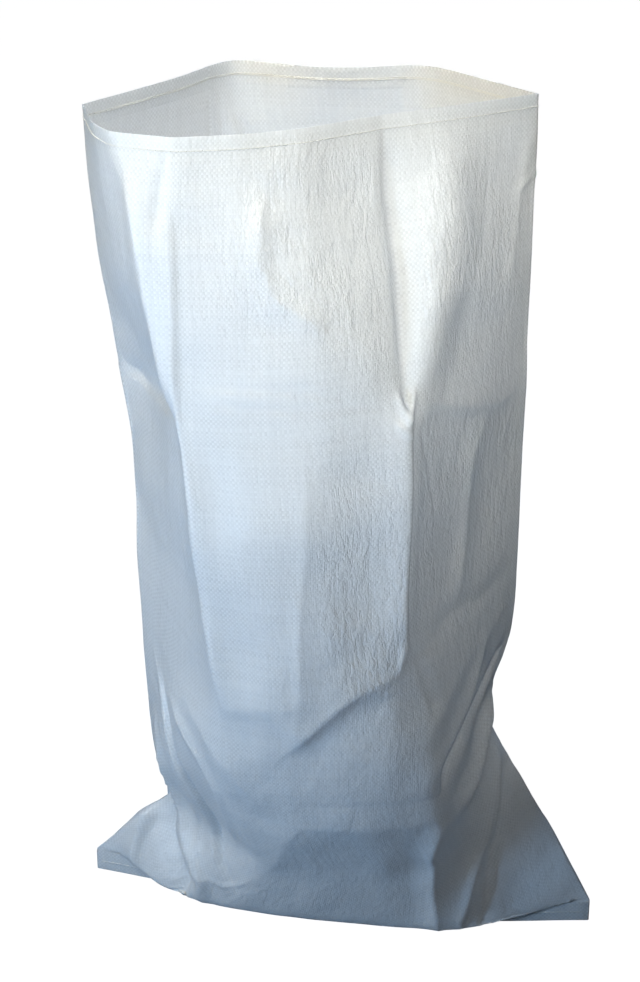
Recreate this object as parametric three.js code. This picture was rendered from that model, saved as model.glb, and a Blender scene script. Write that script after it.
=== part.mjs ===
// A rubble sack: an open tube of woven polypropylene, standing on its sewn bottom.
// Millimetres, +Z up, front towards -Y. The origin is on the floor, under the middle of the sack.
import * as THREE from 'three';

// The standing sack: rim, top of the rounded bottom, and the crease where it was folded in three
const rimHeight = 892;
const shoulderHeight = 110;
const foldHeight = 625;

// One layer of fabric, the hem turned in along the mouth, and the folded band sewn along the bottom
const wall = 1.2;
const hemDepth = 20;
const bandHeight = 25;
const bandThickness = 3;

// Threads of the two seams
const threadRadius = 0.5;
const threadGap = 0.4;
const threadSides = 6;
const bottomStitchHeight = 12;
const hemStitchDepth = 11;
const seamEndInset = 3;

// The flattened strip on which the bulge past the seam touches the floor
const contactWidth = 8;

// The bottom seam seen from above, from the left ear to the right ear
const seamLine = new THREE.CatmullRomCurve3([
  new THREE.Vector3(-268, 44, 0),
  new THREE.Vector3(-100, -8, 0),
  new THREE.Vector3(110, -50, 0),
  new THREE.Vector3(270, -52, 0),
]);

// Where the lengthwise lines of the fabric lie on each panel: 0 is its left edge, 1 its right edge,
// and 0.302 and 0.682 are its creases. The first and last steps are the ears.
const creases = [0.302, 0.682];
const across = [0, 0.14, 0.22, creases[0], 0.38, 0.455, 0.53, 0.605, creases[1], 0.765, 0.85, 1];

// The lines in their order round the tube: along the front to the right and back along the back
const lines = [
  ...across.map((fraction) => ({ fraction, side: 1 })),
  ...across.slice(1, -1).reverse().map((fraction) => ({ fraction, side: -1 })),
];
const leftEdge = 0;
const rightEdge = lines.length / 2;

// How far each panel bulges out past the seam and how high the lowest part of that bulge lies, at
// the ears' tips and roots, at the creases and in the middle
const bulgePlaces = [0, 0.14, creases[0], 0.5, creases[1], 0.85, 1];
const frontRoll = [0, 13, 28, 30, 26, 11, 0];
const backRoll = [0, 20, 36, 40, 36, 20, 0];
const lift = [27, 3, 0, 0, 0, 6, 27];

// Level outlines of the standing tube, in [x, y] corners: the front from its left edge to its right
// edge, and the back from there to the left edge again
const sections = [
  {
    height: shoulderHeight,
    front: [
      [-192, 28], [-150, -25], [-84, -95], [-20, -118], [50, -125], [104, -112], [140, -62],
      [165, -55], [229, -46],
    ],
    back: [[172, -8], [112, 64], [46, 98], [-30, 108], [-96, 98], [-150, 66]],
  },
  {
    height: 170,
    front: [
      [-196, 12], [-160, -58], [-105, -122], [-40, -146], [30, -150], [98, -132], [133, -70],
      [165, -52], [197, -46],
    ],
    back: [[165, 0], [116, 88], [60, 125], [-20, 136], [-92, 118], [-160, 66]],
  },
  {
    height: 240,
    front: [
      [-200, 2], [-170, -80], [-122, -140], [-60, -162], [0, -166], [62, -158], [122, -112],
      [158, -22],
    ],
    back: [[140, 66], [92, 132], [22, 156], [-52, 156], [-120, 130], [-172, 74]],
  },
  {
    height: 345,
    front: [[-204, 2], [-121, -148], [-70, -174], [0, -178], [56, -162], [120, -108], [176, -25]],
    back: [[150, 66], [98, 140], [24, 160], [-50, 160], [-116, 138], [-172, 76]],
  },
  {
    height: 440,
    front: [[-207, 2], [-122, -150], [-70, -176], [-8, -180], [61, -162], [178, -32]],
    back: [[152, 64], [102, 138], [26, 160], [-48, 161], [-112, 138], [-172, 76]],
  },
  {
    height: 530,
    front: [[-206, 2], [-138, -150], [-80, -172], [-10, -176], [62, -158], [179, -26]],
    back: [[150, 62], [103, 136], [28, 156], [-48, 158], [-112, 138], [-170, 74]],
  },
  {
    height: foldHeight,
    front: [
      [-217, 4], [-192, -24], [-171, -63], [-150, -146], [-84, -160], [-12, -163], [62, -150],
      [124, -90], [181, -20],
    ],
    back: [[146, 56], [105, 135], [30, 150], [-45, 152], [-110, 140], [-168, 74]],
  },
  {
    height: 670,
    front: [
      [-221, -1], [-196, -40], [-176, -90], [-164, -140], [-150, -144], [-86, -156], [-20, -158],
      [30, -148], [57, -132], [73, -131], [181, -15],
    ],
    back: [[144, 52], [100, 134], [28, 148], [-45, 151], [-110, 142], [-167, 74]],
  },
  {
    height: 740,
    front: [
      [-229, -8], [-180, -132], [-152, -141], [-88, -148], [-26, -143], [15, -128], [52, -103],
      [88, -104], [182, -6],
    ],
    back: [[143, 50], [93, 132], [28, 142], [-42, 146], [-110, 146], [-166, 76]],
  },
  {
    height: 820,
    front: [
      [-236, -14], [-200, -122], [-154, -134], [-90, -134], [-34, -118], [42, -75], [95, -62],
      [184, 8],
    ],
    back: [[146, 54], [88, 128], [30, 124], [-40, 130], [-108, 148], [-164, 76]],
  },
  {
    height: rimHeight,
    front: [
      [-238, -20], [-224, -81], [-206, -109], [-148, -127], [-91, -118], [-38, -100], [35, -56],
      [107, -23], [184, 15],
    ],
    back: [[150, 52], [84, 126], [37, 111], [-1, 107], [-40, 114], [-107, 149], [-154, 74]],
  },
];

// Heights between the shoulder and the hem at which the fabric has a ring of points
const wallHeights = [
  shoulderHeight, 140, 170, 205, 240, 290, 345, 390, 440, 485, 530, 580, foldHeight, 650, 690,
  740, 780, 820,
];

// How far up the bulge its rings lie, as fractions of the way from the floor to the shoulder
const bulgeFractions = [0.15, 0.35, 0.65];

// How round the bulge is: powers over 1 keep it low at first, powers under 1 push it out at first.
// The edges of the ears are straight.
const bulgeRisePower = 1.3;
const bulgeReachPower = 0.8;

// The inside over the seam starts this far out on either side of it. The inside of the lowest bulge
// reaches this near to the roots of the ears, where 1 is the root and 0 the tip, and rises there
// by this much to clear the band.
const keelHalfWidth = 2.2;
const earClosure = 0.8;
const earRise = 6;

// The place of every lengthwise line on one level outline, spread evenly over each panel
function sectionPlaces(section) {
  const corners = [...section.front, ...section.back, section.front[0]];
  const points = corners.map(([x, y]) => new THREE.Vector2(x, y));
  const front = new THREE.Path(points.slice(0, section.front.length));
  const back = new THREE.Path(points.slice(section.front.length - 1));
  return lines.flatMap((line) => {
    const place = line.side > 0 ? front.getPoint(line.fraction) : back.getPoint(1 - line.fraction);
    return place.toArray();
  });
}

const sectionCurve = new THREE.CubicInterpolant(
  sections.map((section) => section.height),
  sections.flatMap(sectionPlaces),
  2 * lines.length,
);

// A value at a fraction of a panel's width, between the values given at the places of the bulge
function atBulgePlace(values, fraction) {
  return new THREE.LinearInterpolant(bulgePlaces, values, 1).evaluate(fraction)[0];
}

lines.forEach((line) => {
  line.roll = atBulgePlace(line.side > 0 ? frontRoll : backRoll, line.fraction);
  line.lift = atBulgePlace(lift, line.fraction);
});

// A level ring of the tube between the shoulder and the rim
function wallRing(height) {
  const values = sectionCurve.evaluate(height);
  return lines.map((line, index) => {
    return new THREE.Vector3(values[2 * index], values[2 * index + 1], height);
  });
}

// A ring near the floor, each of its points a distance out from the seam
function seamRing(distanceOf, heightOf) {
  return lines.map((line) => {
    const along = seamLine.getTangentAt(line.fraction);
    const outwards = new THREE.Vector3(along.y, -along.x, 0).multiplyScalar(line.side);
    const point = seamLine.getPointAt(line.fraction);
    point.addScaledVector(outwards, line.roll > 0 ? distanceOf(line) : 0);
    point.z = heightOf(line);
    return point;
  });
}

// A ring moved sideways by a distance, inwards where it is positive, with its corners kept
function insetRing(ring, distance) {
  return ring.map((point, index) => {
    const before = point.clone().sub(ring.at(index - 1)).setZ(0).normalize();
    const after = ring[(index + 1) % ring.length].clone().sub(point).setZ(0).normalize();
    const mitre = new THREE.Vector3(-before.y - after.y, before.x + after.x, 0);
    return point.clone().addScaledVector(mitre, distance / (1 + before.dot(after)));
  });
}

// The inside of a ring near the floor: a little inwards and one wall up. Where the ears are pressed
// flat it is closed off: closure 1 ends it at the roots of the ears, and closure 0 at their tips.
function insideRing(ring, inset, closure) {
  const inside = insetRing(ring, inset);
  [leftEdge, rightEdge].forEach((edge) => {
    const root = seamLine.getPointAt(lines[edge + 1].fraction).setZ(ring[edge].z);
    inside[edge].copy(ring[edge]).lerp(root, closure);
    inside[edge].z += closure * earRise;
  });
  inside.forEach((point) => {
    point.z += wall;
  });
  return inside;
}

// Triangles between two rings of points, facing away from their middle or, on the inside, towards it
function trianglesBetween(lower, upper, count, isInside) {
  const triangles = [];
  for (let index = 0; index < count; index += 1) {
    const next = (index + 1) % count;
    triangles.push([lower + index, lower + next, upper + next]);
    triangles.push([lower + index, upper + next, upper + index]);
  }
  return isInside ? triangles.map(([a, b, c]) => [a, c, b]) : triangles;
}

// Triangles over a ring, from its front half to its back half, facing up or down
function capTriangles(first, count, isUp) {
  const triangles = [];
  for (let front = 0; front < count / 2; front += 1) {
    const a = first + front;
    const b = first + front + 1;
    const c = first + count - front - 1;
    const d = first + ((count - front) % count);
    if (b !== c) {
      triangles.push([a, b, c]);
    }
    if (a !== d) {
      triangles.push([a, c, d]);
    }
  }
  return isUp ? triangles : triangles.map(([a, b, c]) => [a, c, b]);
}

function surface(points, triangles) {
  const geometry = new THREE.BufferGeometry();
  geometry.setFromPoints(points);
  geometry.setIndex(triangles.flat());
  return geometry;
}

// An open vessel of two skins, each a list of rings from its bottom up, joined along the rim
function vessel(outside, inside) {
  const count = outside[0].length;
  const insideStart = outside.length * count;
  const triangles = [...capTriangles(0, count, false), ...capTriangles(insideStart, count, true)];
  for (let ring = 1; ring < outside.length; ring += 1) {
    triangles.push(...trianglesBetween((ring - 1) * count, ring * count, count, false));
  }
  for (let ring = 1; ring < inside.length; ring += 1) {
    const upper = insideStart + ring * count;
    triangles.push(...trianglesBetween(upper - count, upper, count, true));
  }
  const outsideRim = insideStart - count;
  const insideRim = insideStart + (inside.length - 1) * count;
  triangles.push(...trianglesBetween(outsideRim, insideRim, count, false));
  return surface([...outside, ...inside].flat(), triangles);
}

// A tube through rings of points, with its ends capped or joined to each other
function tube(rings, isLoop) {
  const count = rings[0].length;
  const triangles = [];
  for (let ring = 1; ring < rings.length; ring += 1) {
    triangles.push(...trianglesBetween((ring - 1) * count, ring * count, count, false));
  }
  const last = (rings.length - 1) * count;
  if (isLoop) {
    triangles.push(...trianglesBetween(last, 0, count, false));
  } else {
    triangles.push(...capTriangles(0, count, false), ...capTriangles(last, count, true));
  }
  return surface(rings.flat(), triangles);
}

// The fabric: up the outside from the floor to the rim, and down the inside to above the seam
function sackBody() {
  const strip = (line) => Math.max(line.roll - contactWidth, 0.7 * line.roll);
  const footInner = seamRing(strip, (line) => line.lift);
  const footOuter = seamRing((line) => line.roll, (line) => (line.roll > 0 ? line.lift : line.lift + 2));
  const shoulder = wallRing(shoulderHeight);

  const bulge = bulgeFractions.map((fraction) => {
    return footOuter.map((foot, index) => {
      const top = shoulder[index];
      const isEdge = lines[index].roll === 0;
      const point = foot.clone().lerp(top, isEdge ? fraction : fraction ** bulgeReachPower);
      point.z = THREE.MathUtils.lerp(foot.z, top.z, isEdge ? fraction : fraction ** bulgeRisePower);
      return point;
    });
  });
  const bulgeInside = bulge.map((ring, index) => {
    return insideRing(ring, wall, earClosure * (1 - bulgeFractions[index]));
  });

  const hemLedge = rimHeight - hemDepth;
  const hemHeights = [hemLedge, rimHeight - hemStitchDepth, rimHeight];

  const outside = [
    seamRing(() => bandThickness / 2, () => 0),
    seamRing(() => bandThickness / 2, () => bandHeight),
    footInner,
    footOuter,
    ...bulge,
    ...wallHeights.map(wallRing),
    ...hemHeights.map(wallRing),
  ];
  const keel = seamRing(() => keelHalfWidth, () => bandHeight + wall / 2);
  const inside = [
    insideRing(keel, 0, 1),
    insideRing(footInner, 0, (1 + earClosure) / 2),
    insideRing(footOuter, wall, earClosure),
    ...bulgeInside,
    ...wallHeights.map((height) => insetRing(wallRing(height), wall)),
    insetRing(wallRing(hemLedge), wall),
    ...hemHeights.map((height) => insetRing(wallRing(height), 2 * wall)),
  ];
  return vessel(outside, inside);
}

// A round thread along a level path, each ring of it standing on the path's own sideways direction
function threadAlong(path, sideways, isLoop) {
  const up = new THREE.Vector3(0, 0, 1);
  const rings = path.map((point, index) => {
    const ring = [];
    for (let corner = 0; corner < threadSides; corner += 1) {
      const angle = (2 * Math.PI * corner) / threadSides;
      const onRing = point.clone().addScaledVector(up, threadRadius * Math.cos(angle));
      ring.push(onRing.addScaledVector(sideways[index], threadRadius * Math.sin(angle)));
    }
    return ring;
  });
  return tube(rings, isLoop);
}

// The thread along one face of the bottom band: side is 1 on the front and -1 on the back
function bottomThread(side) {
  const distance = bandThickness / 2 + threadGap + threadRadius;
  const inset = seamEndInset / seamLine.getLength();
  const path = [];
  const sideways = [];
  lines.slice(leftEdge, rightEdge + 1).forEach((line) => {
    const fraction = THREE.MathUtils.clamp(line.fraction, inset, 1 - inset);
    const along = seamLine.getTangentAt(fraction);
    const outwards = new THREE.Vector3(along.y, -along.x, 0);
    const point = seamLine.getPointAt(fraction).addScaledVector(outwards, side * distance);
    path.push(point.setZ(bottomStitchHeight));
    sideways.push(outwards);
  });
  return threadAlong(path, sideways, false);
}

// The thread round the mouth, outside or inside the hem
function hemThread(isOutside) {
  const ring = wallRing(rimHeight - hemStitchDepth);
  const distance = isOutside ? -threadGap - threadRadius : 2 * wall + threadGap + threadRadius;
  const path = insetRing(ring, distance);
  const outwards = insetRing(ring, -1);
  const sideways = ring.map((point, index) => outwards[index].sub(point).normalize());
  return threadAlong(path, sideways, true);
}

const fabric = new THREE.MeshStandardMaterial({ color: 0xe6ebf1, roughness: 0.5, metalness: 0 });
const thread = new THREE.MeshStandardMaterial({ color: 0xf2f2ee, roughness: 0.7, metalness: 0 });

const body = new THREE.Mesh(sackBody(), fabric);
body.name = 'sack_body';
const bottomNeedleThread = new THREE.Mesh(bottomThread(1), thread);
bottomNeedleThread.name = 'bottom_needle_thread';
const bottomLooperThread = new THREE.Mesh(bottomThread(-1), thread);
bottomLooperThread.name = 'bottom_looper_thread';
const hemNeedleThread = new THREE.Mesh(hemThread(true), thread);
hemNeedleThread.name = 'hem_needle_thread';
const hemLooperThread = new THREE.Mesh(hemThread(false), thread);
hemLooperThread.name = 'hem_looper_thread';

// The middle of the sack, seen from above, goes over the origin
body.geometry.computeBoundingBox();
const middle = body.geometry.boundingBox.getCenter(new THREE.Vector3());
const group = new THREE.Group();
group.add(body, bottomNeedleThread, bottomLooperThread, hemNeedleThread, hemLooperThread);
group.position.set(-middle.x, -middle.y, 0);

export default group;
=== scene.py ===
"""A rubble sack: an open sack of woven plastic tape that stands on its sewn bottom.

The cloth is one grid of points. s runs round the tube from the left edge over the front to the right
edge and back behind, and t runs up the cloth from the fold at the floor. Shapes are in millimetres
and the meshes in metres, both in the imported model's own frame.
"""
import math

import bpy
import numpy as np
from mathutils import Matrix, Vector


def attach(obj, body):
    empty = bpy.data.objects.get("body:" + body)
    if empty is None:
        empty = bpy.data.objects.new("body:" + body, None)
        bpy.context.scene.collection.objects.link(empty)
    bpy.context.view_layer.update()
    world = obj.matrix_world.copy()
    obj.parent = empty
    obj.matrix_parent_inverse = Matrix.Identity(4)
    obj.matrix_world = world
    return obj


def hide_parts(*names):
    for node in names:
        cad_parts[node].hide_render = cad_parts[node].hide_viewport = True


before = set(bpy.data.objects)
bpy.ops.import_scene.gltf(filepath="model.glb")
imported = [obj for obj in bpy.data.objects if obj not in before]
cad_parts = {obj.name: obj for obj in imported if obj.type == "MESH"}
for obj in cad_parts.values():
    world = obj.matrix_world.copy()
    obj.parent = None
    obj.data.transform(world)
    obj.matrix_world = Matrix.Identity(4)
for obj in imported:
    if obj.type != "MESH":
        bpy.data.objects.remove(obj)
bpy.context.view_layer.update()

# The flat tube: its width across and the cloth from the floor to the rim
FLAT_WIDTH = 560.0
GIRTH = 2 * FLAT_WIDTH
RIM = 915.0

# The bottom is folded up once and sewn, with loose cloth from BAND_TOP on, and the mouth is turned in
# once and sewn
BAND_HEIGHT = 25.0
BAND_STITCH = 12.0
BAND_TOP = 26.0
HEM_DEPTH = 20.0
HEM_STITCH = 11.0

# The fold across the sack from its packing, and its height as the sack stands
FOLD_HEIGHT = 625.0

# The bottom fold: how far the front panel's and the back panel's layers lie before and behind the seam
# line, how high their turn at the floor reaches, and the heights of their rows
FRONT_LAYER = 0.4
BACK_LAYER = 1.2
LOOP_HEIGHT = 1.5
BAND_ROWS = (BAND_HEIGHT, 19.0, BAND_STITCH, 6.0)

# The hem: how far inside the cloth it lies, the cloth that its turn takes, and how deep its rows lie
HEM_GAP = 0.8
HEM_TURN = 1.2
HEM_ROWS = (0.0, 3.0, 7.0, HEM_STITCH, 15.0, HEM_DEPTH)

# Widths of the tapes that run up the cloth and round it
TAPE = 2.3
ROUND_TAPE = 2.25

# The stitches, their thread, and the part of the seam line that is sewn, with its points
STITCH_LENGTH = 7.0
THREAD_RADIUS = 0.45
THREAD_SIDES = 6
SEWN = (0.012, 0.988)
SEWN_POINTS = 160

# How far apart the points of the cloth are round the front and up it, and in how many steps it settles
FRONT_STEP, ROW_STEP, STEPS = ((2.4, 3.3, 320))
# The back isn't in the photo, and its points are further apart
BACK_STEP = 7.0

# What is added to the places below, level and up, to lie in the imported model's frame
SHIFT = np.array([-1.0, 9.38, 0.0])

# The line on the floor where the bottom is sewn, from the left ear to the right ear
SEAM = [(-268, 44), (-100, -8), (110, -50), (270, -52)]

# By place along the seam, how far the panels roll out past it and how high they hang there
BULGE = [(0, 0, 27), (0.05, 2, 26), (0.1, 17, 11), (0.15, 30, 5), (0.22, 38, 3), (0.35, 39, 2),
         (0.5, 38, 2), (0.62, 37, 2), (0.7, 36, 2), (0.78, 29, 2), (0.85, 15, 3), (0.89, 9, 6),
         (0.94, 5, 16), (0.97, 1, 26), (1, 0, 27)]

# In front, the cloth passes the raw edge of the bottom fold this far before the seam line and this far
# above BAND_TOP, and then hangs down
LIP_REACH = 2.2
LIP_RISE = 0.4

# One row lies this share of the way from there up to the lowest section, and further on the level by
# up to the second share where the bulge is deep
BULGE_RISE = 0.36
BULGE_REACH = 0.02

# How many level rows there are from the lowest section to the rim
LEVEL_ROWS = 80

# Level sections by height: the front from its left edge to its right edge, and then the back
RINGS = {
    110: ([(-187, 27), (-148, -25), (-84, -90), (-20, -108), (50, -114), (100, -103), (140, -62),
           (165, -55), (229, -46)],
          [(172, -8), (112, 64), (46, 98), (-30, 108), (-96, 98), (-150, 66)]),
    170: ([(-196, 12), (-160, -58), (-105, -118), (-40, -136), (30, -140), (102, -125), (135, -71),
           (165, -52), (197, -46)],
          [(165, 0), (116, 88), (60, 125), (-20, 136), (-92, 118), (-160, 66)]),
    240: ([(-200, 2), (-170, -80), (-122, -140), (-60, -162), (0, -168), (50, -164), (95, -150),
           (130, -102), (158, -22)],
          [(140, 66), (92, 132), (22, 156), (-52, 156), (-120, 130), (-172, 74)]),
    345: ([(-204, 2), (-121, -148), (-70, -174), (0, -178), (52, -167), (92, -146), (132, -96),
           (176, -25)],
          [(150, 66), (98, 140), (24, 160), (-50, 160), (-116, 138), (-172, 76)]),
    440: ([(-207, 2), (-122, -150), (-70, -176), (-8, -180), (61, -162), (178, -32)],
          [(152, 64), (102, 138), (26, 160), (-48, 161), (-112, 138), (-172, 76)]),
    530: ([(-206, 2), (-138, -150), (-80, -172), (-10, -176), (62, -158), (179, -26)],
          [(150, 62), (103, 136), (28, 156), (-48, 158), (-112, 138), (-170, 74)]),
    625: ([(-217, 4), (-192, -24), (-171, -63), (-150, -146), (-84, -160), (-12, -163), (62, -150),
           (124, -90), (181, -20)],
          [(146, 56), (105, 135), (30, 150), (-45, 152), (-110, 140), (-168, 74)]),
    670: ([(-221, -1), (-196, -40), (-176, -90), (-164, -140), (-150, -144), (-86, -156), (-20, -158),
           (30, -148), (57, -132), (73, -131), (181, -15)],
          [(144, 52), (100, 134), (28, 148), (-45, 151), (-110, 142), (-167, 74)]),
    740: ([(-229, -8), (-207, -72), (-177, -132), (-152, -141), (-88, -148), (-26, -143), (15, -128),
           (52, -103), (88, -104), (182, -6)],
          [(143, 50), (93, 132), (28, 142), (-42, 146), (-110, 146), (-166, 76)]),
    820: ([(-236, -14), (-216, -78), (-187, -126), (-154, -134), (-90, -134), (-34, -118), (42, -75),
           (95, -62), (184, 8)],
          [(146, 54), (88, 128), (30, 124), (-40, 130), (-108, 148), (-164, 76)]),
    892: ([(-238, -20), (-224, -81), (-206, -109), (-148, -127), (-91, -118), (-38, -100), (35, -56),
           (107, -23), (184, 15)],
          [(150, 52), (84, 126), (37, 111), (-1, 107), (-40, 114), (-107, 149), (-154, 74)]),
}

# Ways on the cloth (s, t) that a broad fold shares with the narrow crease on it
LEFT_FLAP = [(122, 872), (134, 830), (141, 765), (151, 695), (165, 657)]
LEFT_CREASE = [(170, 600), (171, 541), (173, 488), (179, 442)]
MIDDLE_TURN = [(250, 870), (247, 807), (260, 778), (310, 746)]
MIDDLE_FOOT = [(274, 508), (270, 463), (267, 409), (260, 361)]
LOW_RIDGE = [(273, 374), (289, 388), (305, 401), (322, 411)]
RIGHT_LOW_VALLEY = [(507, 330), (468, 322), (440, 306)]
RIGHT_LOW_RIDGE = [(524, 284), (490, 264), (462, 252)]
FAN_VALLEY = [(50, 342), (76, 305), (96, 262), (108, 215), (116, 172), (134, 146), (164, 116)]
LEFT_EAR_VALLEY = [(18, 150), (42, 122), (74, 116)]
LEFT_EAR_CREASE = [(0, 119), (27, 69), (53, 39)]
LEFT_BODY = [(30, 222), (34, 190), (42, 164), (64, 142), (94, 128), (119, 111)]
RIGHT_EAR = [(546, 226), (527, 210), (514, 197), (490, 177), (463, 153), (442, 124)]
DARK_FACET = [(412, 236), (390, 190), (386, 146), (394, 97)]

# Folds, which shape the cloth before it settles: the way along (s, t), the height outwards, and the
# reach to the left and to the right of that way. They are sharp, apart from the soft ones
FOLDS = {
    "left shoulder": ([(84, 915), *LEFT_FLAP], 3, 40, 24),
    "left dimple": ([(166, 915), (158, 880), (152, 835)], -4, 12, 12),
    "left crease below": ([(168, 655), *LEFT_CREASE, (184, 397)], 5, 30, 40),
    "middle turn": (MIDDLE_TURN, 3.5, 60, 30),
    "middle ridge": ([(285, 656), (283, 600), (280, 551), *MIDDLE_FOOT], 3.5, 50, 50),
    "middle end": ([(178, 392), (215, 400), (268, 407)], 2.5, 50, 40),
    "right valley": ([(384, 915), (386, 800), (382, 682)], -6, 34, 12),
    "right shoulder": ([(470, 915), (450, 795), (420, 720), (390, 664)], 5, 40, 50),
    "right crease below": ([(384, 660), (381, 560), (378, 446)], 5, 22, 40),
    "right facet": ([(485, 627), (470, 599), (468, 518), (462, 486), (452, 458)], 4, 30, 22),
    "right band": ([(556, 446), (495, 448), (452, 458), (400, 434)], -2, 24, 24),
    "right streak": ([(553, 408), (475, 403), (445, 389), (405, 347)], 1.5, 22, 22),
    "low ridge": ([(256, 355), *LOW_RIDGE, (345, 416), (372, 422)], 3.5, 44, 24),
    "low spot": ([(399, 416), (404, 396), (415, 370)], -3, 12, 12),
    "right low valley": ([(550, 352), *RIGHT_LOW_VALLEY, (422, 282)], -10, 18, 24),
    "right low ridge": ([(548, 300), *RIGHT_LOW_RIDGE, (440, 236)], 12, 36, 22),
    "right low light": ([(500, 400), (466, 350), (440, 325), (408, 305)], 3.5, 16, 20),
    "turn under": ([(180, 132), (200, 176), (232, 226), (258, 256), (312, 256), (377, 248),
                    (407, 252), (439, 256), (462, 262)], 6, 70, 150),
    "fan ridge a": ([(40, 340), (66, 305), (86, 262), (98, 215), (106, 168), (126, 138), (158, 108)],
                    5, 9, 22),
    "fan valley": (FAN_VALLEY, -4, 9, 8),
    "fan ridge c": ([(36, 280), (58, 240), (74, 196), (84, 158), (110, 124), (134, 100)], 3, 8, 14),
    "fan ridge b": ([(78, 348), (108, 334), (138, 312), (156, 280), (156, 235), (142, 175)], 3, 16, 12),
    "fan edge": ([(100, 372), (140, 356), (188, 326), (218, 262)], 2.5, 44, 26),
    "left ear valley": ([(10, 196), *LEFT_EAR_VALLEY, (104, 97), (116, 58)], -9, 8, 40),
    "left body edge": ([(20, 262), *LEFT_BODY, (136, 72)], 7, 24, 10),
    "left ear crease": (LEFT_EAR_CREASE, 4, 18, 40),
    "right ear flap": ([*RIGHT_EAR, (424, 84), (418, 60)], 6, 12, 40),
    "right ear valley": ([(552, 214), (540, 204), (526, 190), (500, 164), (478, 142), (464, 116),
                          (452, 86), (446, 66)], -7, 16, 10),
    "dark facet": ([(446, 240), *DARK_FACET, (398, 56)], 6, 44, 24),
}
SOFT_FOLDS = ("right shoulder", "low spot")

# Creases, which are pressed in after it has settled, given in the same way
CREASES = {
    "left flap edge": ([(100, 895), *LEFT_FLAP], 1.6, 22, 12),
    "left crease above": ([(165, 850), (166, 815), (165, 765), (164, 710), (165, 683), (166, 664)],
                          2.9, 8, 22),
    "left crease edge": ([(167, 652), *LEFT_CREASE, (186, 390)], 1.5, 30, 16),
    "left fold line": ([(0, 658), (19, 650), (42, 646), (73, 654), (120, 664), (160, 674)], -2.6, 26, 8),
    "left fold step": ([(0, 649), (19, 641), (42, 637), (73, 644), (120, 654), (160, 664)], 1.4, 8, 50),
    "upper fold line": ([(179, 705), (208, 704), (236, 703), (282, 700), (328, 687)], -1.4, 6, 5),
    "lower fold line": ([(183, 690), (217, 688), (282, 682), (372, 676)], -1.4, 6, 5),
    "right fold line": ([(380, 672), (410, 666), (458, 655), (513, 639), (556, 635)], 2.6, 50, 14),
    "middle wrinkle": ([(205, 889), (238, 897), (253, 900), (335, 913)], -1, 5, 5),
    "middle turn edge": (MIDDLE_TURN, 1.2, 16, 22),
    "middle edge": (MIDDLE_FOOT, 1, 26, 14),
    "right valley edge": ([(372, 800), (376, 740), (382, 688)], 1.2, 6, 16),
    "right crease groove": ([(387, 658), (385, 560), (382, 452)], -4, 11, 4),
    "right thin crease": ([(397, 652), (411, 606), (423, 561)], -1.5, 6, 6),
    "right tick": ([(378, 448), (368, 424)], 2.5, 8, 8),
    "pinch left": ([(374, 684), (381, 668), (385, 652)], 4, 6, 6),
    "pinch right": ([(393, 684), (388, 670), (382, 654)], 4.5, 6, 6),
    "pinch hollow": ([(383, 688), (384, 670)], -5, 6, 6),
    "pinch tail": ([(372, 658), (386, 644)], 3, 5, 5),
    "side crumple": ([(536, 828), (548, 836), (562, 843)], 2.5, 6, 6),
    "side line": ([(556, 905), (540, 819), (522, 728)], 1.5, 14, 14),
    "low ridge edge": ([(256, 357), *LOW_RIDGE, (340, 415)], 2.4, 44, 15),
    "right low crease": ([(548, 350), *RIGHT_LOW_VALLEY, (424, 284)], -4, 7, 9),
    "right low edge": ([(545, 298), *RIGHT_LOW_RIDGE, (445, 240)], 2.5, 6, 8),
    "low line": ([(263, 287), (318, 286), (355, 281), (398, 279), (443, 277)], -1, 6, 12),
    "fan crease": (FAN_VALLEY, -1.6, 6, 5),
    "fan pinch": ([(127, 118), (147, 113), (162, 119), (179, 136)], 2, 6, 6),
    "left ear step": ([(10, 192), *LEFT_EAR_VALLEY, (102, 98), (112, 70)], -3, 5, 16),
    "left body crease": ([*LEFT_BODY, (132, 82)], 3, 16, 5),
    "left ear edge": (LEFT_EAR_CREASE, 5, 15, 40),
    "right flap edge": ([*RIGHT_EAR, (426, 88)], 3, 6, 14),
    "dark facet edge": ([*DARK_FACET, (398, 66)], 1.6, 8, 10),
}

# A sharp fold's or crease's profile is this power of the nearness to its way, and it has this share
# of its height at its ends, and all of it after this share of its length
SHARP_POWER = 1.7
FOLD_END = 0.25
FOLD_FADE = 0.18

# Lengthwise edges from the making and packing, which columns of points follow: the edge's own column
# and its way (s, t) over the part of the cloth where it shows
EDGES = {
    "left side": (0, [(0, 0), (0, 915)]),
    "front left": (170, [(186, 370), (179, 442), (173, 488), (171, 541), (169, 600), (167, 655),
                         (160, 749), (158, 830), (166, 915)]),
    "front right": (382, [(378, 446), (381, 560), (382, 655), (386, 800), (384, 915)]),
    "right side": (560, [(560, 0), (560, 915)]),
    "back right": (738, [(738, 470), (738, 915)]),
    "back left": (950, [(950, 400), (950, 915)]),
}
# Columns and rows within this reach bend along with an edge or with the fold across the sack
EDGE_REACH = 60.0
# Points beside an edge lie this near to it, so that it stays crisp
EDGE_STEP = 1.3

# Smoothing spares the cloth at an edge, less so out to this reach, and by this share at the fold across
# the sack. It spares the foot too, up to FOOT_TOP above BAND_TOP, less so over the last FOOT_FADE
CREASE_REACH = 9.0
FOLD_HOLD = 0.8
FOOT_TOP, FOOT_FADE = 18, 12

# How much the sections' corners are smoothed, in square millimetres
SMOOTHING = 260.0

# The share of each sharp fold that is drawn again on the settled cloth
SHARPENING = 0.35

# Where handling has crinkled the cloth the most: middles (s, t) and their reach round and up
WORN_PLACES = [((305, 795), (110, 120)), ((345, 515), (55, 135)), ((470, 560), (90, 170)),
               ((470, 770), (90, 110)), ((80, 540), (80, 200)),
               ((830, 700), (150, 200)), ((830, 350), (160, 160))]

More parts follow.
